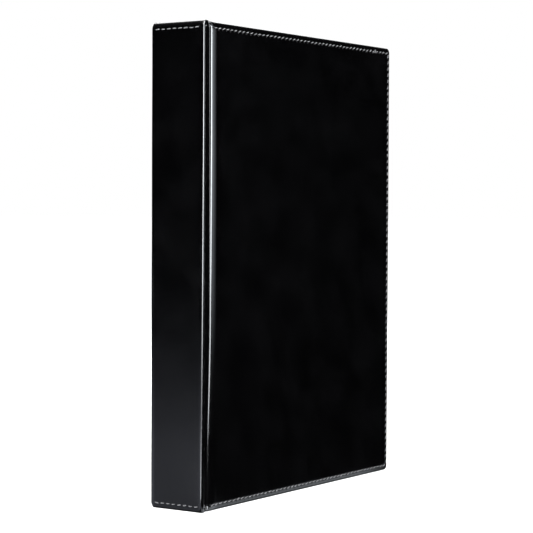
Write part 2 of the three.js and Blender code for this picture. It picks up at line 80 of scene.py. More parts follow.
# The stitches.
STITCH_INSET = 3.9
STITCH_PITCH = 4.6
STITCH_LENGTH = 3.0
LOW_SLANTS = (20, 24)  # slants are in degrees, at the two ends of a row
HIGH_SLANTS = (14, 27)
FORE_SLANTS = (24, 24)
SPINE_SLANTS = (4, 6)
LINING_SLANTS = (-16, -16)
LINING_FORE_SLANTS = (-24, -24)
SPINE_LINING_SLANTS = (-6, -6)
BACK_STITCH = (4.1, 0.25, 62)  # pitches from the fore row, distance above the upper row, and slant
SPINE_ROW_DROP = 0.45  # the spine's upper row lies this much lower than the covers'
SPINE_RUN_HALF = 18.0  # half the length of the spine's rows
THREAD_RADIUS = 0.31
THREAD_LIFT = 0.26  # the thread's middle over the leather, halfway along a stitch
THREAD_DIVE = 0.7  # and how much lower it is where it enters the leather
THREAD_RINGS = 13
THREAD_SIDES = 10
HOLE_DROP = 0.75  # a hole's distance from the row's middle line
HOLE_PHASE = 0.16  # and its place between one stitch and the next, as a share of the pitch
HOLE_RADIUS = 0.85
HOLE_FLOOR = 0.12  # the radius of a hole's flat bottom
HOLE_DEPTH = 0.8
CHANNEL_DEPTH = 0.16
CHANNEL_HALF_WIDTH = 0.45

# The mechanism.
METAL_BEVEL = 0.15
BEVELLED = ("mechanism_housing", "upper_lever", "lower_lever")
SMOOTH_ANGLE = math.radians(35)
BEVEL_ANGLE = math.radians(50)

# The camera, in metres and degrees.
CAMERA_PLACE = (0.6854, -1.0292, 0.1952)
CAMERA_AZIMUTH = 34.07
CAMERA_PITCH = 1.864
CAMERA_ROLL = 0.246
CAMERA_LENS = 119.5
CAMERA_SENSOR = 36.0

SEED = 7


# Curves of the section.


def line(start, end, count):
    t = np.linspace(0, 1, count)[:, None]
    return np.array(start) * (1 - t) + np.array(end) * t


def arc(centre, radius, start, end, count):
    angle = np.radians(np.linspace(start, end, count))
    return np.array(centre) + radius * np.stack([np.cos(angle), np.sin(angle)], 1)


def bend(start, radius, first, last, count=16):
    """An arc from a start point, whose outward direction turns from first to last, in degrees from -Y
    towards +X."""
    towards = math.radians(first)
    centre = (start[0] - radius * math.sin(towards), start[1] + radius * math.cos(towards))
    return arc(centre, radius, first - 90, last - 90, count)


def bezier(p0, p1, p2, p3, count=24):
    t = np.linspace(0, 1, count)[:, None]
    points = [np.array(p, float) for p in (p0, p1, p2, p3)]
    weights = [(1 - t) ** 3, 3 * t * (1 - t) ** 2, 3 * t * t * (1 - t), t**3]
    return sum(w * p for w, p in zip(weights, points))


def joined(*parts):
    """Chains of points, end to end, without repeats."""
    points = np.concatenate(parts)
    keep = np.append(True, np.linalg.norm(np.diff(points, axis=0), axis=1) > 1e-6)
    return points[keep]


def lengths(points):
    """How far along a chain each of its points is."""
    return np.append(0, np.cumsum(np.linalg.norm(np.diff(points, axis=0), axis=1)))


def smoothed(value, low, high):
    """0 up to low, 1 from high on, and a smooth step between them."""
    t = np.clip((value - low) / (high - low), 0, 1)
    return t * t * (3 - 2 * t)


# The outer face of the hinge: the spine's ridge, the groove, and the swell over the cover board's edge.
RIDGE_RADIUS = 1.4
RIDGE_CENTRE = (19.6, SPINE_FACE + RIDGE_RADIUS)
GROOVE_X = 18.35
CREST_X = 20.3
WALL_FOOT = (18.45, -109.35)
WALL = bend(WALL_FOOT, 1.1, 17, 38)
SHOULDER = bend(WALL[-1], 2.6, 38, 66)
SHOULDER_HEADING = np.array([math.cos(math.radians(66)), math.sin(math.radians(66))])
HINGE_OUTER = joined(
    line((SEAM_X, SPINE_FACE), (RIDGE_CENTRE[0], SPINE_FACE), 5),
    arc(RIDGE_CENTRE, RIDGE_RADIUS, -90, 25, 24),
    bezier((20.869, -117.008), (19.945, -115.015), (GROOVE_X, -114.9), (GROOVE_X, -113.6)),
    line((GROOVE_X, -113.6), (GROOVE_X, -109.95), 6),
    bezier((GROOVE_X, -109.95), (GROOVE_X, -109.6), (18.37, -109.375), WALL_FOOT, 12),
    WALL,
    SHOULDER,
    bezier(SHOULDER[-1], SHOULDER[-1] + SHOULDER_HEADING, (20.28, -106.0), (CREST_X, -104.2)),
    bezier((CREST_X, -104.2), (CREST_X, -102.8), (COVER_FACE, -101.5), (COVER_FACE, HINGE_END), 12),
)
HINGE_LENGTH = lengths(HINGE_OUTER)[-1]

# The inner face of the hinge, over the boards, under the lining, and at the hem.
HINGE_OVER_BOARD = joined(
    line((SEAM_X, SPINE_BOARD_FACE), (19.97, SPINE_BOARD_FACE), 4),
    line((19.97, SPINE_BOARD_FACE), (19.97, -116.1), 6),
    bezier((19.97, -116.1), (19.4, -115.75), (LINING_SEAT, -115.9), (LINING_SEAT, -114.6)),
    line((LINING_SEAT, -114.6), (LINING_SEAT, BOARD_START - 0.02), 12),
    line((LINING_SEAT, BOARD_START - 0.02), (BOARD_FACE, BOARD_START), 4),
    line((BOARD_FACE, BOARD_START), (BOARD_FACE, HINGE_END), 6),
)
HINGE_UNDER_LINING = joined(
    line((SEAM_X, SPINE_LINING_SEAT), (18.3, SPINE_LINING_SEAT), 4),
    bezier((18.3, SPINE_LINING_SEAT), (17.4, -116.1), (LINING_SEAT, -115.6), (LINING_SEAT, -114.6)),
    line((LINING_SEAT, -114.6), (LINING_SEAT, HINGE_END), 16),
)
HINGE_HEM = joined(
    line((SEAM_X, SPINE_INSIDE), (18.3, SPINE_INSIDE), 4),
    bezier((18.3, SPINE_INSIDE), (17.1, SPINE_INSIDE), (COVER_INSIDE, -115.2), (COVER_INSIDE, -114.2)),
    line((COVER_INSIDE, -114.2), (COVER_INSIDE, HINGE_END), 16),
)

COVER_LENGTH = HINGE_LENGTH + FORE_EDGE - HINGE_END


def edge_rows():
    """Distances from an edge at which the skins have rows: close together at the rim, hem and stitches."""
    rim = [0, 0.06, 0.2, 0.42, 0.7, 1.0, 1.4, 1.85, 1.95]
    channel = [2.3, 2.7, 3.05, 3.25, 3.45, 3.65, 3.9, 4.15, 4.35, 4.55, 4.62, 4.72]
    board = [5.0, 5.3, 5.7, 6.2, 6.8, 7.6, 8.6, 10]
    return np.array(rim + channel + board)


def height_rows():
    edge = edge_rows()
    return np.concatenate([edge, np.linspace(edge[-1], HEIGHT - edge[-1], 76)[1:-1], (HEIGHT - edge)[::-1]])


def cover_columns():
    """Lengths along the cover's outer face, from the seam to the fore edge."""
    hinge = np.linspace(0, HINGE_LENGTH, 150)
    edge = COVER_LENGTH - edge_rows()[::-1]
    return np.concatenate([hinge, np.linspace(HINGE_LENGTH, edge[0], 56)[1:-1], edge])


def edge_distance(along, z):
    """How far a point of the cover is from its nearest cut edge, with rounded corners at the fore edge."""
    from_end = np.minimum(z, HEIGHT - z)
    from_fore = COVER_LENGTH - along
    in_corner = (from_end < CORNER_RADIUS) & (from_fore < CORNER_RADIUS)
    diagonal = CORNER_RADIUS - np.hypot(CORNER_RADIUS - from_end, CORNER_RADIUS - from_fore)
    return np.maximum(0, np.where(in_corner, diagonal, np.minimum(from_end, from_fore)))


def rounded_height(along, z):
    """Moves the rows near a fore-edge corner in, so that the outline follows the corner's arc."""
    past = np.clip(along - (COVER_LENGTH - CORNER_RADIUS), 0, CORNER_RADIUS)
    cut = CORNER_RADIUS - np.sqrt(CORNER_RADIUS**2 - past**2)
    reach = 2 * CORNER_RADIUS
    low = np.clip(1 - z / reach, 0, 1)
    high = np.clip(1 - (HEIGHT - z) / reach, 0, 1)
    return z + cut * (low - high)


def hump(place, middle, width):
    """1 at the middle of a ridge or a groove, and falling off smoothly on both sides."""
    return np.exp(-(((place - middle) / width) ** 2))


def margin_sink(distance):
    """How far the outer face lies below the boarded area: a slope past the board's edge, and the channel."""
    slope = MARGIN_DROP * np.clip(1 - distance / SLOPE_END, 0, 1) ** SLOPE_CURVE
    return slope + CHANNEL_DEPTH * hump(distance, STITCH_INSET, CHANNEL_HALF_WIDTH)


def section_normal(points):
    """The outward direction at each point of a section's chain."""
    step = np.gradient(points, axis=0)
    normal = np.stack([step[:, 1], -step[:, 0]], 1)
    return normal / np.linalg.norm(normal, axis=1)[:, None]


HINGE_AT = lengths(HINGE_OUTER)
HINGE_NORMAL = section_normal(HINGE_OUTER)
RIDGE_AT = 2.0  # along the outer face, the middle of the spine's ridge
SWELL_AT = HINGE_LENGTH - 9.2  # and of the swell over the board's edge
GROOVE_AT = (RIDGE_AT + SWELL_AT) / 2
RIDGE_WIDTH = 1.5
SWELL_WIDTH = 1.6
RISE_WIDTH = 5.5
RISE_START = HEIGHT - 8
RIDGE_FIRMNESS = 0.85  # the share of the margin's slope that ridge, swell and groove don't follow
SWELL_FIRMNESS = 0.7
GROOVE_FIRMNESS = 1.25
STITCH_RUN_START = HINGE_LENGTH - 7.6
SWELL_LEAN = (-1.5, 1.3, 0.8)  # how far the swell lies towards the fore edge: at the foot, midway, at the top
PINCH = 1.2  # how far ridge and swell come together at the sewn ends
SEWN_REACH = (0.2, 3.6)  # from an end, between which the pinch dies out
FLAT_REACH = (6, 20)  # from an edge, between which the unevenness sets in
HINGE_RISE = 1.1  # how far the groove's upper end rises between them
COVER_WAVE = 0.035  # the unevenness of the skins
SPINE_WAVE = 0.03


def swell_lean(z):
    """How far the swell lies towards the fore edge at a height."""
    low, middle, high = SWELL_LEAN
    rising = (middle - low) * smoothed(z, 0, 0.4 * HEIGHT)
    falling = (high - middle) * smoothed(z, 0.55 * HEIGHT, HEIGHT)
    return low + rising + falling


def hinge_sink(along, z):
    """How far the outer face sinks below its section, which the ridges and the groove resist."""
    ridge = hump(along, RIDGE_AT, RIDGE_WIDTH)
    swell = hump(along, SWELL_AT, SWELL_WIDTH)
    groove = smoothed(along, 3.2, 5.0) * (1 - smoothed(along, SWELL_AT - 2.8, SWELL_AT - 0.8))
    sink = margin_sink(edge_distance(along, z))
    return sink * (1 - RIDGE_FIRMNESS * ridge - SWELL_FIRMNESS * swell) * (1 - GROOVE_FIRMNESS * groove)


def hinge_shift(along, z):
    """How far the outer face is drawn towards the fore edge, by the sewing and by the swell's lean."""
    sewn = 1 - smoothed(np.minimum(z, HEIGHT - z), *SEWN_REACH)
    together = hump(along, RIDGE_AT, RIDGE_WIDTH) - 1.1 * hump(along, SWELL_AT, SWELL_WIDTH)
    over_board = smoothed(along, GROOVE_AT, SWELL_AT - 1.8)
    over_board = over_board * (1 - smoothed(along, HINGE_LENGTH, HINGE_LENGTH + 20))
    return PINCH * sewn * together + swell_lean(z) * over_board


def cover_outer(along, z):
    """Points of the front cover's outer face, before its rim is rounded."""
    x = np.interp(along, HINGE_AT, HINGE_OUTER[:, 0])
    y = np.interp(along, HINGE_AT, HINGE_OUTER[:, 1]) + np.maximum(0, along - HINGE_LENGTH)
    normal_x = np.interp(along, HINGE_AT, HINGE_NORMAL[:, 0])
    normal_y = np.interp(along, HINGE_AT, HINGE_NORMAL[:, 1])
    wave = COVER_WAVE * np.sin(z / 17.0 + along / 23.0) * np.sin(along / 31.0 + 1.3)
    inward = hinge_sink(along, z) - wave * smoothed(edge_distance(along, z), *FLAT_REACH)
    x = x - normal_x * inward
    y = y - normal_y * inward + hinge_shift(along, z)
    rise = HINGE_RISE * hump(along, GROOVE_AT, RISE_WIDTH) * smoothed(z, RISE_START, HEIGHT)
    return np.stack([x, y, rounded_height(along, z) + rise], -1)


def cover_inner(along, z):
    """Points of the front cover's inner face: over the board, under the lining, or the hem."""
    distance = edge_distance(along, z)
    share = np.clip(along / HINGE_LENGTH, 0, 1)
    beyond = np.maximum(0, along - HINGE_LENGTH)
    kinds = []
    for chain in (HINGE_HEM, HINGE_UNDER_LINING, HINGE_OVER_BOARD):
        at = lengths(chain)
        kinds.append([np.interp(share * at[-1], at, chain[:, k]) for k in (0, 1)])
    chosen = [
        np.where(distance < HEM_START, kinds[0][k], np.where(distance < MARGIN, kinds[1][k], kinds[2][k]))
        for k in (0, 1)
    ]
    return np.stack([chosen[0], chosen[1] + beyond, rounded_height(along, z)], -1)


def spine_outer(along, z):
    from_end = np.minimum(z, HEIGHT - z)
    wave = SPINE_WAVE * np.sin(z / 14.0) * np.sin(along / 9.0) * smoothed(from_end, *FLAT_REACH)
    y = SPINE_FACE + margin_sink(from_end) + wave
    return np.stack([along, y, z], -1)


def spine_inner(along, z):
    from_end = np.minimum(z, HEIGHT - z)
    over_board = np.where(from_end < MARGIN, SPINE_LINING_SEAT, SPINE_BOARD_FACE)
    y = np.where(from_end < HEM_START, SPINE_INSIDE, over_board)
    return np.stack([along, y, z], -1)


def rounded_rim(outer, inner, distance):
    """Draws the two faces together over the last millimetre, so that the edge of the leather is round."""
    middle = (outer + inner) / 2
    reach = np.clip(distance / RIM_RADIUS, 0, 1)
    spread = np.sqrt(1 - (1 - reach) ** 2)[..., None]
    return middle + (outer - middle) * spread, middle + (inner - middle) * spread


# Meshes.


def mirrored_x(points):
    return points * np.array([-1, 1, 1])


def make_mesh(name, points, faces, uv, material, sharp=()):
    mesh = bpy.data.meshes.new(name)
    mesh.from_pydata((np.asarray(points) * MM).tolist(), [], [list(f) for f in faces])
    layer = mesh.uv_layers.new(name="UVMap")
    corner = np.zeros(len(mesh.loops), np.int32)
    mesh.loops.foreach_get("vertex_index", corner)
    layer.data.foreach_set("uv", (np.asarray(uv)[corner] * MM).astype(np.float32).ravel())
    mesh.polygons.foreach_set("use_smooth", np.ones(len(mesh.polygons), bool))
    if sharp:
        for edge in mesh.edges:
            edge.use_edge_sharp = tuple(sorted(edge.vertices)) in sharp
    mesh.materials.append(material)
    mesh.validate()
    obj = bpy.data.objects.new(name, mesh)
    bpy.context.scene.collection.objects.link(obj)
    return obj


def skin(name, outer, inner, along, z, last_is_rim, material, mirror=False):
    """A closed sheet of leather from its outer and inner faces. Its two ends meet at a round rim, and so does
    its last column if that is a cut edge; any other side is closed by a flat strip."""
    columns, rows = along.shape
    outer_index = np.arange(columns * rows).reshape(columns, rows)
    shared = np.zeros((columns, rows), bool)
    shared[:, 0] = shared[:, -1] = True
    if last_is_rim:
        shared[-1, :] = True
    inner_index = outer_index.copy()
    inner_index[~shared] = columns * rows + np.arange((~shared).sum())
    points = np.concatenate([outer.reshape(-1, 3), inner[~shared]])
    flat = np.stack([along, z], -1)
    uv = np.concatenate([flat.reshape(-1, 2), flat[~shared]])
    faces = []
    for index, turned in ((outer_index, False), (inner_index, True)):
        quads = np.stack([index[:-1, :-1], index[1:, :-1], index[1:, 1:], index[:-1, 1:]], -1).reshape(-1, 4)
        faces.extend((quads[:, ::-1] if turned != mirror else quads).tolist())
    sharp = set()
    sides = [0] if last_is_rim else [0, -1]
    for side in sides:
        for row in range(rows - 1):
            a, b = outer_index[side, row], outer_index[side, row + 1]
            c, d = inner_index[side, row + 1], inner_index[side, row]
            face = [a, b, c, d] if (side == 0) != mirror else [d, c, b, a]
            faces.append(list(dict.fromkeys(int(v) for v in face)))
            sharp.add(tuple(sorted((int(a), int(b)))))
            sharp.add(tuple(sorted((int(c), int(d)))))
    if mirror:
        points = mirrored_x(points)
        uv = uv * np.array([-1, 1])
    return make_mesh(name, points, faces, uv, material, sharp)


def cover_skin(name, material, mirror):
    along, z = np.meshgrid(cover_columns(), height_rows(), indexing="ij")
    outer, inner = rounded_rim(cover_outer(along, z), cover_inner(along, z), edge_distance(along, z))
    return skin(name, outer, inner, along + SEAM_X, z, True, material, mirror)


def spine_skin(name, material):
    along, z = np.meshgrid(np.linspace(-SEAM_X, SEAM_X, 39), height_rows(), indexing="ij")
    from_end = np.minimum(z, HEIGHT - z)
    outer, inner = rounded_rim(spine_outer(along, z), spine_inner(along, z), from_end)
    return skin(name, outer, inner, along, z, False, material)


# The linings: thin cloth sheets inside the covers, which run through the hinge and lap onto the spine.

LAP_END = 11.2  # how far from the middle of the spine the covers' linings reach
LAP_FACE = -115.36
SPINE_LINING_HALF = 16.0
SPINE_LINING_THICKNESS = 0.4
LINING_RIM = 3  # a lining's rim is this many times narrower than the leather's
LINING_INNER_CHAIN = joined(
    line((LAP_END, LAP_FACE), (15.0, LAP_FACE), 8),
    bezier((15.0, LAP_FACE), (16.1, LAP_FACE), (16.62, -114.9), (16.62, -113.6)),
    line((16.62, -113.6), (16.62, HINGE_END), 10),
)
LINING_OUTER_CHAIN = joined(
    line((LAP_END, -115.68), (15.2, -115.68), 8),
    bezier((15.2, -115.68), (16.5, -115.68), (17.0, -115.1), (17.0, -113.6)),
    line((17.0, -113.6), (17.0, HINGE_END), 10),
)
LINING_HINGE_LENGTH = lengths(LINING_INNER_CHAIN)[-1]
LINING_END = FORE_EDGE - LINING_INSET


def lining_face(along, z, chain):
    at = lengths(chain)
    share = np.clip(along / LINING_HINGE_LENGTH, 0, 1)
    x = np.interp(share * at[-1], at, chain[:, 0])
    y = np.interp(share * at[-1], at, chain[:, 1]) + np.maximum(0, along - LINING_HINGE_LENGTH)
    return np.stack([x, y, z], -1)


def lining_rows():
    """The lining's lower and upper edges, and the heights of its rows."""
    low, high = LINING_INSET, HEIGHT - LINING_INSET
    ends = np.array([0, 0.2, 0.5, 1.0, 3.0])
    middle = np.linspace(low + ends[-1], high - ends[-1], 60)[1:-1]
    return low, high, np.concatenate([low + ends, middle, (high - ends)[::-1]])


def lining_sheet(name, material, mirror):
    end = LINING_HINGE_LENGTH + LINING_END - HINGE_END
    along = np.concatenate([
        np.linspace(0, LINING_HINGE_LENGTH, 40),
        np.linspace(LINING_HINGE_LENGTH, end - 1, 50)[1:],
        [end - 0.5, end - 0.2, end],
    ])
    low, high, rows = lining_rows()
    along, z = np.meshgrid(along, rows, indexing="ij")
    inner_face = lining_face(along, z, LINING_INNER_CHAIN)
    outer_face = lining_face(along, z, LINING_OUTER_CHAIN)
    distance = np.minimum(np.minimum(z - low, high - z), end - along)
    inner_face, outer_face = rounded_rim(inner_face, outer_face, distance * LINING_RIM)
    return skin(name, outer_face, inner_face, along, z, True, material, mirror)


def spine_lining_sheet(name, material):
    low, high, rows = lining_rows()
    along, z = np.meshgrid(np.linspace(-SPINE_LINING_HALF, SPINE_LINING_HALF, 17), rows, indexing="ij")
    distance = np.minimum(z - low, high - z)
    inner_face = np.stack([along, np.full_like(z, SPINE_INSIDE), z], -1)
    outer_face = np.stack([along, np.full_like(z, SPINE_INSIDE - SPINE_LINING_THICKNESS), z], -1)
    inner_face, outer_face = rounded_rim(inner_face, outer_face, distance * LINING_RIM)
    return skin(name, outer_face, inner_face, along, z, False, material)


# The stitches: short slanted lengths of two-ply thread that dip into the leather at both ends.


def face_normals(surface, u, v, inward):
    step = 0.05
    along = surface(u + step, v) - surface(u - step, v)
    up = surface(u, v + step) - surface(u, v - step)
    normal = np.cross(along, up)
    normal /= np.linalg.norm(normal, axis=-1)[..., None]
    return -normal if inward else normal


def stitches(surface, centres, inward=False):
    """Points and faces of stitches on a surface. Each centre is (u, v, heading, length) on it."""
    count = len(centres)
    u0, v0, heading, length = (np.array(column)[:, None] for column in zip(*centres))
    t = np.linspace(-1, 1, THREAD_RINGS)[None, :]
    u = u0 + np.cos(heading) * t * length / 2
    v = v0 + np.sin(heading) * t * length / 2
    on = surface(u, v)
    normal = face_normals(surface, u, v, inward)
    forward = np.gradient(on, axis=1)
    forward /= np.linalg.norm(forward, axis=-1)[..., None]
    across = np.cross(normal, forward)
    towards_end = np.abs(t) ** 6
    lift = THREAD_LIFT - THREAD_DIVE * towards_end
    taper = 1 - 0.35 * towards_end
    middle = on + normal * lift[..., None]
    angle = np.linspace(0, 2 * math.pi, THREAD_SIDES, endpoint=False)[None, None, :]
    ply = 1 + 0.12 * np.cos(2 * (angle - 2.4 * t[..., None]))
    radius = THREAD_RADIUS * taper[..., None] * ply
    ring = (
        middle[:, :, None, :]
        + across[:, :, None, :] * (radius * np.cos(angle))[..., None]
        + normal[:, :, None, :] * (radius * np.sin(angle))[..., None]
    )
    index = np.arange(count * THREAD_RINGS * THREAD_SIDES).reshape(count, THREAD_RINGS, THREAD_SIDES)
    after = np.roll(index, -1, axis=2)
    quads = np.stack([index[:, :-1], after[:, :-1], after[:, 1:], index[:, 1:]], -1).reshape(-1, 4)
    ends = [row[::-1] for row in index[:, 0].tolist()] + index[:, -1].tolist()
    along_thread = np.broadcast_to((t * length / 2)[:, :, None], index.shape)
    round_thread = np.broadcast_to(angle * THREAD_RADIUS, index.shape)
    uv = np.stack([along_thread + u0[:, :, None] * 3, round_thread], -1).reshape(-1, 2)
    return ring.reshape(-1, 3), quads.tolist() + ends, uv


def run(low, high):
    """Places of stitches from low to high."""
    count = max(1, round((high - low) / STITCH_PITCH))
    return low + (np.arange(count) + 0.5) * (high - low) / count


def stitch_row(rng, places, fixed, upright, slants):
    """A row of stitches at a fixed distance from an edge, each a little different. Their slant, in degrees,
    goes from the first of slants to the second along the row."""
    row = []
    for place, slant in zip(places, np.linspace(*slants, len(places))):
        turn = math.radians(slant + rng.normal(0, 4))
        length = STITCH_LENGTH * rng.uniform(0.9, 1.06)
        drift = rng.normal(0, 0.08)
        if upright:
            row.append((fixed + drift, place, math.pi / 2 - turn, length))
        else:
            row.append((place, fixed + drift, turn, length))
    return row


def combined(name, rows, material, mirror=False):
    points, faces, uv = [], [], []
    offset = 0
    for part_points, part_faces, part_uv in rows:
        points.append(part_points)
        uv.append(part_uv)
        faces.extend([[v + offset for v in face] for face in part_faces])
        offset += len(part_points)
    points = np.concatenate(points)
    uv = np.concatenate(uv)
    if mirror:
        points = mirrored_x(points)
        faces = [face[::-1] for face in faces]
    return make_mesh(name, points, faces, uv, material)


def cover_stitching(name, material, mirror, seed):
    rng = np.random.default_rng(seed)
    low, high = STITCH_INSET, HEIGHT - STITCH_INSET
    fore = COVER_LENGTH - STITCH_INSET
    centres = []
    for z, slants in ((low, LOW_SLANTS), (high, HIGH_SLANTS)):
        centres += stitch_row(rng, np.append(GROOVE_AT, run(STITCH_RUN_START, fore)), z, False, slants)
    centres += stitch_row(rng, run(low, high), fore, True, FORE_SLANTS)
    pitches, above, slant = BACK_STITCH
    centres.append((fore - pitches * STITCH_PITCH, high + above, math.radians(slant), STITCH_LENGTH))
    outside = stitches(cover_outer, centres)

    def lining_surface(u, v):
        return lining_face(u, v, LINING_INNER_CHAIN)

    fore = LINING_HINGE_LENGTH + FORE_EDGE - HINGE_END - STITCH_INSET
    centres = []
    for z in (low, high):
        centres += stitch_row(rng, run(0.5, fore), z, False, LINING_SLANTS)
    centres += stitch_row(rng, run(low, high), fore, True, LINING_FORE_SLANTS)
    inside = stitches(lining_surface, centres, inward=True)
    return combined(name, [outside, inside], material, mirror)


def spine_stitching(name, material, z, seed):
    rng = np.random.default_rng(seed)
    centres = stitch_row(rng, run(-SPINE_RUN_HALF, SPINE_RUN_HALF), z, False, SPINE_SLANTS)
    outside = stitches(spine_outer, centres)

    def lining_surface(u, v):
        return np.stack([u, np.full_like(u, SPINE_INSIDE), v], -1)

    centres = stitch_row(rng, run(-LAP_END, LAP_END), z, False, SPINE_LINING_SLANTS)
    inside = stitches(lining_surface, centres, inward=True)
    return combined(name, [outside, inside], material)


# Materials.


class Nodes:
    """A material's node tree, with short calls for what the materials here share."""

    def __init__(self, name):
        self.material = bpy.data.materials.new(name)
        self.material.use_nodes = True
        self.tree = self.material.node_tree
        self.shader = self.tree.nodes["Principled BSDF"]

    def add(self, kind, inputs=None, **settings):
        node = self.tree.nodes.new(kind)
        for key, value in settings.items():
            setattr(node, key, value)
        for key, value in (inputs or {}).items():
            if isinstance(value, bpy.types.NodeSocket):
                self.tree.links.new(value, node.inputs[key])
            else:
                node.inputs[key].default_value = value
        return node

    def coordinates(self, output, scale):
        where = self.add("ShaderNodeTexCoord").outputs[output]
        return self.add("ShaderNodeMapping", {"Vector": where, "Scale": scale}).outputs["Vector"]

    def noise(self, where, scale, detail=4.0, rough=0.55):
        inputs = {"Vector": where, "Scale": scale, "Detail": detail, "Roughness": rough}
        return self.add("ShaderNodeTexNoise", inputs).outputs["Fac"]

    def ramp(self, value, low, high, start, end):
        inputs = {"Value": value, "From Min": low, "From Max": high, "To Min": start, "To Max": end}
        return self.add("ShaderNodeMapRange", inputs).outputs["Result"]

    def math(self, operation, a, b=0.0):
        return self.add("ShaderNodeMath", {0: a, 1: b}, operation=operation).outputs["Value"]

    def mix(self, share, first, second):
        node = self.add("ShaderNodeMix", data_type="RGBA")
        for key, value in ((0, share), (6, first), (7, second)):
            if isinstance(value, bpy.types.NodeSocket):
                self.tree.links.new(value, node.inputs[key])
            else:
                node.inputs[key].default_value = value
        return node.outputs[2]

    def bump(self, height, distance, strength=1.0, under=None):
        inputs = {"Height": height, "Distance": distance, "Strength": strength}
        if under is not None:
            inputs["Normal"] = under
        return self.add("ShaderNodeBump", inputs).outputs["Normal"]

    def set(self, **values):
        for key, value in values.items():
            socket = self.shader.inputs[key.replace("_", " ")]
            if isinstance(value, bpy.types.NodeSocket):
                self.tree.links.new(value, socket)
            else:
                socket.default_value = value
        return self.material


def needle_holes(n, where):
    """Height that dips at the needle holes, one at the lower end of each stitch of the outer rows."""
    split = n.add("ShaderNodeSeparateXYZ", {"Vector": where})
    from_seam = n.math("SUBTRACT", n.math("ABSOLUTE", split.outputs["X"]), SEAM_X * MM)
    height = split.outputs["Y"]
    from_end = n.math("MINIMUM", height, n.math("SUBTRACT", HEIGHT * MM, height))
    from_fore = n.math("SUBTRACT", COVER_LENGTH * MM, from_seam)
    low_row = n.math("SUBTRACT", height, (STITCH_INSET - HOLE_DROP) * MM)
    high_row = n.math("SUBTRACT", height, (HEIGHT - STITCH_INSET - HOLE_DROP) * MM)
    nearest_row = n.math("MINIMUM", n.math("ABSOLUTE", low_row), n.math("ABSOLUTE", high_row))
    rows = hole_row(n, from_seam, STITCH_RUN_START, COVER_LENGTH - STITCH_INSET, nearest_row)
    fore_line = n.math("ABSOLUTE", n.math("SUBTRACT", from_fore, (STITCH_INSET + HOLE_DROP) * MM))
    fore = hole_row(n, height, STITCH_INSET, HEIGHT - STITCH_INSET, fore_line)
    inside = n.math("GREATER_THAN", from_end, (STITCH_INSET + 1) * MM)
    short_of_fore = n.math("GREATER_THAN", from_fore, (STITCH_INSET + 1) * MM)
    depth = n.math("MAXIMUM", n.math("MULTIPLY", rows, short_of_fore), n.math("MULTIPLY", fore, inside))
    return n.math("SUBTRACT", 1.0, depth)


def hole_row(n, place, low, high, off_line):
    """1 in the middle of each hole along a row of stitches, and 0 from a hole's radius outwards."""
    count = max(1, round((high - low) / STITCH_PITCH))
    pitch = (high - low) / count
    cell = n.math("FRACT", n.math("DIVIDE", n.math("SUBTRACT", place, low * MM), pitch * MM))
    off_hole = n.math("MULTIPLY", n.math("SUBTRACT", cell, HOLE_PHASE), pitch * MM)
    along_squared = n.math("POWER", n.math("ABSOLUTE", off_hole), 2.0)
    radius = n.math("SQRT", n.math("ADD", along_squared, n.math("POWER", off_line, 2.0)))
    ends = {"From Min": HOLE_FLOOR * MM, "From Max": HOLE_RADIUS * MM, "To Min": 1.0, "To Max": 0.0}
    node = n.add("ShaderNodeMapRange", {"Value": radius, **ends}, interpolation_type="SMOOTHSTEP")
    return n.math("MULTIPLY", node.outputs["Result"], n.math("GREATER_THAN", place, low * MM))


def leather_material():
    """Polished black leather: fine pores, soft mottling, and a faint grain that runs across."""
    n = Nodes("black_leather")
    where = n.coordinates("UV", (1, 1, 1))
    across = n.coordinates("UV", (0.22, 1, 1))
    cells = n.add("ShaderNodeTexVoronoi", {"Vector": where, "Scale": 1700.0}, feature="F1")
    pores = cells.outputs["Distance"]
    grain = n.noise(across, 900.0, 5.0, 0.6)
    mottle = n.noise(where, 38.0, 3.0, 0.5)
    streak = n.noise(across, 260.0, 3.0, 0.5)
    patches = n.ramp(mottle, 0.35, 0.7, 0.0, 1.0)
    colour = n.mix(patches, (0.0008, 0.0008, 0.001, 1), (0.002, 0.002, 0.0023, 1))
    pebble = n.noise(where, 1250.0, 2.0, 0.5)
    fine = n.bump(n.math("ADD", n.math("MULTIPLY", pores, 0.6), grain), 0.00004, 0.5)
    dapple = n.bump(pebble, 0.00006, 0.35, fine)
    broad = n.bump(n.math("ADD", mottle, streak), 0.00012, 0.25, dapple)
    unpierced = needle_holes(n, where)
    pierced = n.bump(unpierced, HOLE_DEPTH * MM, 1.0, broad)
    polish = n.ramp(n.math("ADD", grain, mottle), 0.7, 1.3, 0.15, 0.22)
    rubbed = burnished(n, where)
    smoothness = n.math("MULTIPLY", polish, n.ramp(rubbed, 0.0, 1.0, 1.0, 0.65))
    roughness = n.math("ADD", smoothness, n.ramp(unpierced, 0.3, 1.0, 0.7, 0.0))
    return n.set(
        Base_Color=colour,
        Roughness=roughness,
        Specular_IOR_Level=n.math("MULTIPLY", unpierced, 0.5),
        Coat_Weight=n.math("MULTIPLY", unpierced, n.ramp(rubbed, 0.0, 1.0, 0.12, 0.8)),
        Coat_Roughness=0.08,
        Coat_IOR=1.8,
        Normal=pierced,
    )


def burnished(n, where):
    """1 on the hinge, whose ridges are rubbed smooth by handling, and 0 on the flat faces."""
    across = n.add("ShaderNodeSeparateXYZ", {"Vector": where}).outputs["X"]
    from_seam = n.math("SUBTRACT", n.math("ABSOLUTE", across), SEAM_X * MM)
    begun = n.ramp(from_seam, -1.5 * MM, 0.0, 0.0, 1.0)
    ended = n.ramp(from_seam, (HINGE_LENGTH - 6) * MM, (HINGE_LENGTH - 1) * MM, 1.0, 0.0)
    return n.math("MULTIPLY", begun, ended)


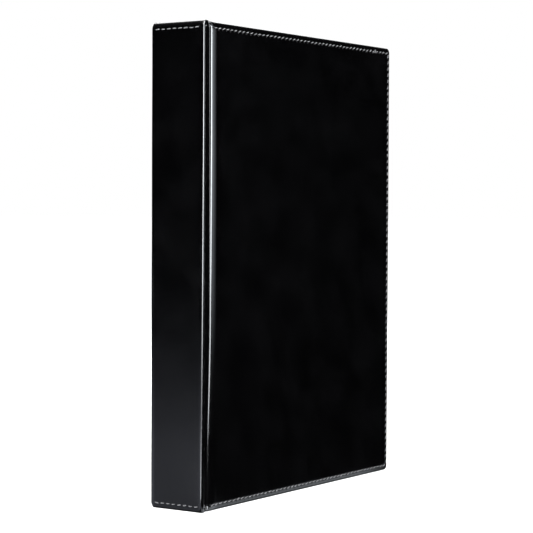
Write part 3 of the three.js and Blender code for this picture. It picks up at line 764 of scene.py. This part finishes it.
def thread_material():
    """Waxed polyester thread with two twisted plies."""
    n = Nodes("black_thread")
    where = n.coordinates("UV", (1, 1, 1))
    fibre = n.noise(n.coordinates("UV", (0.4, 3.0, 1)), 2500.0, 3.0, 0.6)
    tone = n.noise(where, 300.0, 2.0, 0.5)
    colour = n.mix(tone, (0.16, 0.16, 0.17, 1), (0.32, 0.32, 0.335, 1))
    return n.set(
        Base_Color=colour,
        Roughness=n.ramp(fibre, 0.3, 0.7, 0.4, 0.62),
        Sheen_Weight=0.25,
        Normal=n.bump(fibre, 0.00004, 0.7),
    )


def lining_material():
    """Black bookcloth: a fine plain weave."""
    n = Nodes("black_lining")
    where = n.coordinates("UV", (1, 1, 1))
    split = n.add("ShaderNodeSeparateXYZ", {"Vector": where})
    period = 2 * math.pi / 0.0006
    warp = n.math("SINE", n.math("MULTIPLY", split.outputs["X"], period))
    weft = n.math("SINE", n.math("MULTIPLY", split.outputs["Y"], period))
    weave = n.math("MULTIPLY", warp, weft)
    slub = n.noise(n.coordinates("UV", (0.15, 1, 1)), 700.0, 3.0, 0.6)
    patch = n.noise(where, 60.0, 3.0, 0.55)
    colour = n.mix(n.math("MULTIPLY", slub, patch), (0.006, 0.006, 0.0065, 1), (0.018, 0.018, 0.0195, 1))
    height = n.math("ADD", n.math("MULTIPLY", weave, 0.5), slub)
    return n.set(
        Base_Color=colour,
        Roughness=n.ramp(slub, 0.3, 0.7, 0.62, 0.85),
        Specular_IOR_Level=0.2,
        Normal=n.bump(height, 0.00005, 0.6),
    )


def board_material():
    """Grey bookbinder's board, pressed from paper pulp."""
    n = Nodes("bookbinders_board")
    where = n.coordinates("Object", (1, 1, 1))
    layers = n.noise(n.coordinates("Object", (9, 1, 1)), 900.0, 3.0, 0.6)
    fleck = n.noise(where, 1400.0, 4.0, 0.65)
    colour = n.mix(fleck, (0.20, 0.18, 0.15, 1), (0.31, 0.28, 0.23, 1))
    return n.set(Base_Color=colour, Roughness=0.92, Normal=n.bump(n.math("ADD", layers, fleck), 0.0001, 0.5))


def metal_material(name, colour, roughness, brushed):
    """Plated steel: rubbed along its length, with a slight cloudiness and fine scratches."""
    n = Nodes(name)
    where = n.coordinates("Object", (1, 1, 1))
    brush = n.noise(n.coordinates("Object", (1, 1, 0.03)), 5200.0, 4.0, 0.6)
    cloud = n.noise(where, 140.0, 3.0, 0.5)
    dull = tuple(0.82 * c for c in colour)
    spread = 0.6 * roughness
    wear = n.math("ADD", n.math("MULTIPLY", brush, brushed), n.math("MULTIPLY", cloud, 1 - brushed))
    return n.set(
        Base_Color=n.mix(cloud, (*dull, 1), (*colour, 1)),
        Metallic=1.0,
        Roughness=n.ramp(wear, 0.3, 0.7, roughness - spread / 2, roughness + spread),
        Normal=n.bump(brush, 0.000012 * (1 + 2 * brushed), 0.5),
    )


# CAD parts that keep their shape.


def smooth_by_angle():
    """A node group that shades a mesh smooth, apart from its sharper edges."""
    group = bpy.data.node_groups.new("smooth_by_angle", "GeometryNodeTree")
    group.interface.new_socket("Geometry", in_out="INPUT", socket_type="NodeSocketGeometry")
    group.interface.new_socket("Geometry", in_out="OUTPUT", socket_type="NodeSocketGeometry")
    start = group.nodes.new("NodeGroupInput")
    end = group.nodes.new("NodeGroupOutput")
    faces = group.nodes.new("GeometryNodeSetShadeSmooth")
    edges = group.nodes.new("GeometryNodeSetShadeSmooth")
    edges.domain = "EDGE"
    angle = group.nodes.new("GeometryNodeInputMeshEdgeAngle")
    compare = group.nodes.new("FunctionNodeCompare")
    compare.operation = "LESS_EQUAL"
    compare.inputs["B"].default_value = SMOOTH_ANGLE
    links = group.links
    links.new(angle.outputs["Unsigned Angle"], compare.inputs["A"])
    links.new(start.outputs["Geometry"], faces.inputs["Geometry"])
    links.new(faces.outputs["Geometry"], edges.inputs["Geometry"])
    links.new(compare.outputs["Result"], edges.inputs["Shade Smooth"])
    links.new(edges.outputs["Geometry"], end.inputs["Geometry"])
    return group


def finish_node(name, obj, material, group):
    """Gives a CAD part its material, smooth shading and, on the larger pressings, broken edges."""
    obj.data.materials.clear()
    obj.data.materials.append(material)
    weld = obj.modifiers.new("weld", "WELD")
    weld.merge_threshold = 1e-6
    if name in BEVELLED:
        edges = obj.modifiers.new("bevel", "BEVEL")
        edges.width = METAL_BEVEL * MM
        edges.segments = 2
        edges.limit_method = "ANGLE"
        edges.angle_limit = BEVEL_ANGLE
        edges.use_clamp_overlap = True
    shade = obj.modifiers.new("shade", "NODES")
    shade.node_group = group


# Camera, lights, floor, in metres.

WHITE = (1, 1, 1, 1)
RIBBON_COLUMNS = 24
RIBBON_HEIGHT = 0.0004  # over the floor
FLOOR_GLOW_HEIGHT = 0.0002
RIBBON_TURN = 1.3  # from the hinge, where the ridge's ribbon turns upward


def make_camera():
    """Sees the spine at the left and the front cover running away to the right, from a little above."""
    azimuth = math.radians(CAMERA_AZIMUTH)
    pitch = math.radians(CAMERA_PITCH)
    roll = math.radians(CAMERA_ROLL)
    level = math.cos(pitch)
    back = Vector((math.sin(azimuth) * level, -math.cos(azimuth) * level, math.sin(pitch)))
    right = Vector((math.cos(azimuth), math.sin(azimuth), 0))
    up = back.cross(right)
    turned_right = right * math.cos(roll) + up * math.sin(roll)
    turned_up = up * math.cos(roll) - right * math.sin(roll)
    data = bpy.data.cameras.new("camera")
    data.lens = CAMERA_LENS
    data.sensor_width = CAMERA_SENSOR
    camera = bpy.data.objects.new("camera", data)
    bpy.context.scene.collection.objects.link(camera)
    place = Matrix((turned_right, turned_up, back)).transposed().to_4x4()
    place.translation = Vector(CAMERA_PLACE)
    camera.matrix_world = place
    bpy.context.scene.camera = camera


def light_ramp(tree, value, stops):
    """The brightness at a value, by an eased ramp through (value, brightness) stops."""
    ramp = tree.nodes.new("ShaderNodeValToRGB")
    ramp.color_ramp.interpolation = "EASE"
    while len(ramp.color_ramp.elements) < len(stops):
        ramp.color_ramp.elements.new(0.5)
    for element, (place, bright) in zip(ramp.color_ramp.elements, stops):
        element.position = place
        element.color = (bright, bright, bright, 1)
    tree.links.new(value, ramp.inputs["Fac"])
    return ramp.outputs["Color"]


def glow_material(name, ramps, strength, colour):
    """Emission whose brightness follows one ramp along U and another along V."""
    material = bpy.data.materials.new(name)
    material.use_nodes = True
    tree = material.node_tree
    tree.nodes.clear()
    where = tree.nodes.new("ShaderNodeTexCoord")
    split = tree.nodes.new("ShaderNodeSeparateXYZ")
    tree.links.new(where.outputs["UV"], split.inputs["Vector"])
    product = tree.nodes.new("ShaderNodeMath")
    product.operation = "MULTIPLY"
    for index, (axis, stops) in enumerate(zip("XY", ramps)):
        tree.links.new(light_ramp(tree, split.outputs[axis], stops), product.inputs[index])
    scale = tree.nodes.new("ShaderNodeMath")
    scale.operation = "MULTIPLY"
    scale.inputs[1].default_value = strength
    tree.links.new(product.outputs["Value"], scale.inputs[0])
    emission = tree.nodes.new("ShaderNodeEmission")
    emission.inputs["Color"].default_value = colour
    tree.links.new(scale.outputs["Value"], emission.inputs["Strength"])
    output = tree.nodes.new("ShaderNodeOutputMaterial")
    tree.links.new(emission.outputs["Emission"], output.inputs["Surface"])
    return material


def glow_mesh(name, points, faces, uv, ramps, strength, colour):
    """A glowing sheet that only reflections see."""
    mesh = bpy.data.meshes.new(name)
    mesh.from_pydata(points, [], faces)
    layer = mesh.uv_layers.new(name="UVMap")
    for loop in mesh.loops:
        layer.data[loop.index].uv = uv[loop.vertex_index]
    mesh.materials.append(glow_material(name, ramps, strength, colour))
    sheet = bpy.data.objects.new(name, mesh)
    bpy.context.scene.collection.objects.link(sheet)
    sheet.visible_camera = False
    sheet.visible_diffuse = False
    sheet.visible_transmission = False
    sheet.visible_shadow = False


def round_hinge(angle, radius, height):
    """A point round the front hinge, at an angle in degrees from -Y towards +X."""
    turn = math.radians(angle)
    return SEAM_X * MM + radius * math.sin(turn), SPINE_FACE * MM - radius * math.cos(turn), height


def glow_ribbon(name, stations, ramps, strength, colour=WHITE):
    """A glowing ribbon round the hinge, over the floor or upright. Each station is its first and last
    angle, its distance from the hinge and its height. U runs across the ribbon and V along it."""
    columns = RIBBON_COLUMNS
    points, faces, uv = [], [], []
    travelled = [0.0]
    for (_, _, r0, h0), (_, _, r1, h1) in zip(stations, stations[1:]):
        travelled.append(travelled[-1] + math.hypot(r1 - r0, h1 - h0))
    for (first, last, radius, height), along in zip(stations, travelled):
        for i in range(columns + 1):
            points.append(round_hinge(first + (last - first) * i / columns, radius, height))
            uv.append((i / columns, along / travelled[-1]))
    for row in range(len(stations) - 1):
        for i in range(columns):
            a = row * (columns + 1) + i
            faces.append((a, a + 1, a + columns + 2, a + columns + 1))
    glow_mesh(name, points, faces, uv, ramps, strength, colour)


def glow_floor(name, outline, ramps, strength, colour=WHITE):
    """A four-cornered piece of the floor as the leather reflects it. U runs along X and V along Y."""
    points = [(x, y, FLOOR_GLOW_HEIGHT) for x, y in outline]
    corners = [(0, 0), (1, 0), (1, 1), (0, 1)]
    glow_mesh(name, points, [(0, 1, 2, 3)], corners, ramps, strength, colour)


def soft_box(name, place, target, width, height, power):
    data = bpy.data.lights.new(name, "AREA")
    data.shape = "RECTANGLE"
    data.size, data.size_y = width, height
    data.energy = power
    light = bpy.data.objects.new(name, data)
    bpy.context.scene.collection.objects.link(light)
    light.location = place
    light.rotation_euler = (Vector(target) - Vector(place)).to_track_quat("-Z", "Y").to_euler()
    light.visible_camera = False


def make_ridge_light():
    """The strip of light that the hinge's ridges mirror, from the floor beside it up into the room."""
    on_floor = [
        (-28, -12, 0.05), (-28, -8, 0.13), (-28, 4, 0.29), (-22, 16, 0.50), (-4, 36, 0.78),
        (12, 52, RIBBON_TURN),
    ]
    upright = [(22, 62, 0.06), (32, 72, 0.123), (44, 82, 0.215), (56, 88, 0.31), (58, 88, 0.6), (58, 88, 1.6)]
    stations = [(first, last, radius, RIBBON_HEIGHT) for first, last, radius in on_floor]
    stations += [(first, last, RIBBON_TURN, height) for first, last, height in upright]
    across = [(0.0, 0.0), (0.15, 1.0), (0.7, 1.0), (1.0, 0.0)]
    along = [
        (0.0, 0.75), (0.03, 0.55), (0.084, 0.34), (0.158, 0.17), (0.256, 0.24), (0.43, 0.5), (0.46, 0.5),
        (0.482, 0.72), (0.514, 0.78), (0.547, 0.9), (1.0, 1.0),
    ]
    glow_ribbon("ridge_light", stations, (across, along), 17.0, (0.92, 0.96, 1.0, 1))


def make_lights():
    make_ridge_light()
    glow_ribbon(
        "side_light",
        [(84, 140, 1.31, 0.0), (84, 140, 1.31, 0.6)],
        ([(0.0, 0.0), (0.1, 1.0), (0.4, 0.6), (0.7, 0.25), (0.9, 0.07), (1.0, 0.0)],
         [(0.0, 0.06), (0.2, 0.5), (0.42, 0.9), (0.6, 1.0), (1.0, 1.0)]),
        2.2, (0.86, 0.93, 1.0, 1),
    )
    glow_ribbon(
        "rear_light",
        [(196, 262, 1.4, 0.1), (196, 262, 1.4, 1.5)],
        ([(0.0, 0.0), (0.2, 1.0), (0.6, 0.6), (1.0, 0.0)],
         [(0.0, 0.0), (0.25, 1.0), (0.85, 1.0), (1.0, 0.0)]),
        4.0,
    )
    glow_floor(
        "front_floor", [(-1.2, -1.6), (-0.35, -1.6), (0.017, -0.119), (-1.2, -0.119)],
        ([(0.0, 0.0), (0.2, 1.0), (0.8, 1.0), (1.0, 1.0)],
         [(0.0, 0.0), (0.36, 0.16), (0.58, 0.4), (0.72, 0.62), (0.83, 1.0), (1.0, 1.0)]),
        0.5, (0.82, 0.86, 1.0, 1),
    )
    glow_floor(
        "rear_floor", [(-1.2, -0.119), (-0.021, -0.119), (-0.021, 0.9), (-1.2, 0.9)],
        ([(0.0, 0.0), (0.2, 1.0), (1.0, 1.0)], [(0.0, 1.0), (0.4, 0.9), (1.0, 0.0)]),
        0.5, (0.82, 0.86, 1.0, 1),
    )
    glow_floor(
        "side_floor", [(0.0199, -0.13), (0.0285, -0.13), (0.0285, 0.13), (0.0199, 0.13)],
        ([(0.0, 1.0), (0.5, 0.9), (1.0, 0.0)], [(0.0, 1.0), (0.8, 1.0), (1.0, 0.1)]),
        1.0, (0.88, 0.94, 1.0, 1),
    )
    soft_box("overhead", (0.1, -0.2, 1.7), (0, 0, 0.1), 1.6, 1.6, 26)
    soft_box("camera_side", (0.9, -1.1, 1.35), (0, 0, 0.15), 0.9, 0.7, 14)
    soft_box("far_side", (-1.1, 1.0, 1.3), (0, 0, 0.15), 1.0, 0.8, 14)


def make_world():
    """White where the camera sees it; to everything else, dark at the horizon and paler overhead."""
    world = bpy.data.worlds.new("world")
    bpy.context.scene.world = world
    world.use_nodes = True
    tree = world.node_tree
    tree.nodes.clear()
    where = tree.nodes.new("ShaderNodeTexCoord")
    split = tree.nodes.new("ShaderNodeSeparateXYZ")
    tree.links.new(where.outputs["Generated"], split.inputs["Vector"])
    rise = tree.nodes.new("ShaderNodeMapRange")
    rise.interpolation_type = "SMOOTHSTEP"
    for key, value in (("From Min", 0.4), ("From Max", 0.95), ("To Min", 0.002), ("To Max", 0.7)):
        rise.inputs[key].default_value = value
    tree.links.new(split.outputs["Z"], rise.inputs["Value"])
    dim = tree.nodes.new("ShaderNodeBackground")
    tree.links.new(rise.outputs["Result"], dim.inputs["Strength"])
    white = tree.nodes.new("ShaderNodeBackground")
    white.inputs["Strength"].default_value = 1.0
    for node in (dim, white):
        node.inputs["Color"].default_value = WHITE
    path = tree.nodes.new("ShaderNodeLightPath")
    mix = tree.nodes.new("ShaderNodeMixShader")
    tree.links.new(path.outputs["Is Camera Ray"], mix.inputs["Fac"])
    tree.links.new(dim.outputs["Background"], mix.inputs[1])
    tree.links.new(white.outputs["Background"], mix.inputs[2])
    output = tree.nodes.new("ShaderNodeOutputWorld")
    tree.links.new(mix.outputs["Shader"], output.inputs["Surface"])


def make_floor():
    n = Nodes("pale_floor")
    n.set(
        Base_Color=(0.9, 0.9, 0.9, 1),
        Roughness=0.9,
        Specular_IOR_Level=0.0,
        Emission_Color=WHITE,
        Emission_Strength=0.78,
    )
    half = 30.0
    mesh = bpy.data.meshes.new("floor")
    corners = [(-half, -half, 0), (half, -half, 0), (half, half, 0), (-half, half, 0)]
    mesh.from_pydata(corners, [], [(0, 1, 2, 3)])
    mesh.materials.append(n.material)
    floor = bpy.data.objects.new("floor", mesh)
    bpy.context.scene.collection.objects.link(floor)
    floor.visible_glossy = False


# Pieces on their bodies.


def dress_spine(leather, thread, lining):
    skin_piece = spine_skin("spine_skin", leather)
    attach(skin_piece, "spine")
    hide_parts("spine_leather")
    sheet = spine_lining_sheet("spine_lining_sheet", lining)
    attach(sheet, "spine")
    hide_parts("spine_lining")
    upper = HEIGHT - STITCH_INSET - SPINE_ROW_DROP
    for place, z, seed in (("upper", upper, SEED), ("lower", STITCH_INSET, SEED + 1)):
        row = spine_stitching(f"spine_{place}_thread", thread, z, seed)
        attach(row, "spine")
        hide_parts(f"spine_{place}_stitching")


def dress_cover(side, mirror, leather, thread, lining):
    """One cover's pieces: its leather skin, lining sheet and stitching, in place of the CAD's."""
    skin_piece = cover_skin(f"{side}_cover_skin", leather, mirror)
    sheet = lining_sheet(f"{side}_cover_lining_sheet", lining, mirror)
    rows = cover_stitching(f"{side}_cover_thread", thread, mirror, SEED + 2 + mirror)
    made = (
        (skin_piece, "leather", "black_leather"),
        (sheet, "lining", "black_lining"),
        (rows, "stitching", "black_thread"),
    )
    for obj, node, slot in made:
        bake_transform(obj)
        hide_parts(f"{side}_cover_{node}")


def dress_mechanism():
    """The CAD parts that are still shown: the mechanism and the boards."""
    finishes = {
        "bookbinders_board": board_material(),
        "nickel_plated_steel": metal_material("nickel_plated_steel", (0.66, 0.65, 0.62), 0.16, 0.3),
        "zinc_plated_steel": metal_material("zinc_plated_steel", (0.55, 0.56, 0.57), 0.34, 0.8),
    }
    group = smooth_by_angle()
    slots = {part["node"]: part["material_slot"] for part in frame["record"]["subparts"]}
    for name, obj in frame["nodes"].items():
        if not obj.hide_render:
            finish_node(name, obj, finishes[slots[name]], group)


def dress():
    leather = leather_material()
    thread = thread_material()
    lining = lining_material()
    dress_spine(leather, thread, lining)
    dress_cover("front", False, leather, thread, lining)
    dress_cover("rear", True, leather, thread, lining)
    dress_mechanism()


bpy.context.scene.view_settings.view_transform = "Standard"
make_camera()
make_world()
make_lights()
make_floor()
dress()
